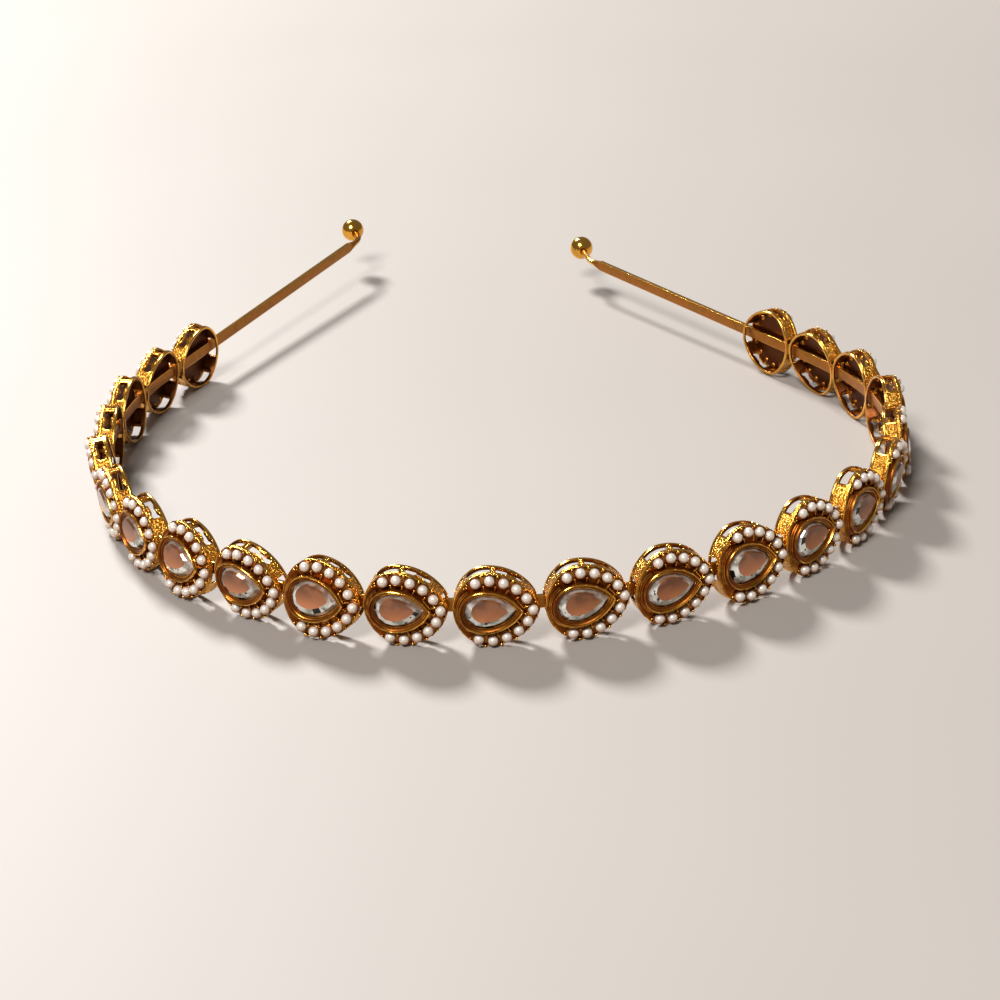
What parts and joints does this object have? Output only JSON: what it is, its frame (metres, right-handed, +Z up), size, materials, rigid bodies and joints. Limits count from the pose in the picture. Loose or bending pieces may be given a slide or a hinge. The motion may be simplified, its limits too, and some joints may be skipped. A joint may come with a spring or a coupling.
{
  "type": "hair band",
  "caption": "Open hair band of pear-shaped gold settings, each with a clear stone and a row of pearls, threaded on a flat spring strip with end balls.",
  "frame": {"origin": "middle of the ground that the lying band covers", "axes": "+Z up from the ground it lies on; -Y the front, where the crown's middle lies; +Y towards the open ends; +X to the right seen from the front"},
  "size_m": [0.1305, 0.1615, 0.0117],
  "materials": {
    "gold": "antique gold plate with brown lacquer in the recesses",
    "strip": "gold-plated spring steel",
    "stone": "clear foil-backed glass, faceted",
    "pearl": "pearlescent imitation pearl"
  },
  "bodies": {
    "root": {"setting_01": "gold", "setting_02": "gold", "setting_03": "gold", "setting_04": "gold", "setting_05": "gold", "setting_06": "gold", "setting_07": "gold", "setting_08": "gold", "setting_09": "gold", "setting_10": "gold", "setting_11": "gold", "setting_12": "gold", "setting_13": "gold", "setting_14": "gold", "setting_15": "gold", "setting_16": "gold", "setting_17": "gold", "setting_18": "gold", "setting_19": "gold", "setting_20": "gold", "setting_21": "gold", "setting_22": "gold", "setting_23": "gold", "stone_01": "stone", "stone_02": "stone", "stone_03": "stone", "stone_04": "stone", "stone_05": "stone", "stone_06": "stone", "stone_07": "stone", "stone_08": "stone", "stone_09": "stone", "stone_10": "stone", "stone_11": "stone", "stone_12": "stone", "stone_13": "stone", "stone_14": "stone", "stone_15": "stone", "stone_16": "stone", "stone_17": "stone", "stone_18": "stone", "stone_19": "stone", "stone_20": "stone", "stone_21": "stone", "stone_22": "stone", "stone_23": "stone", "pearls_left": "pearl", "pearls_right": "pearl", "spring_strip": "strip", "ball_left": "gold", "ball_right": "gold"}
  },
  "joints": []
}
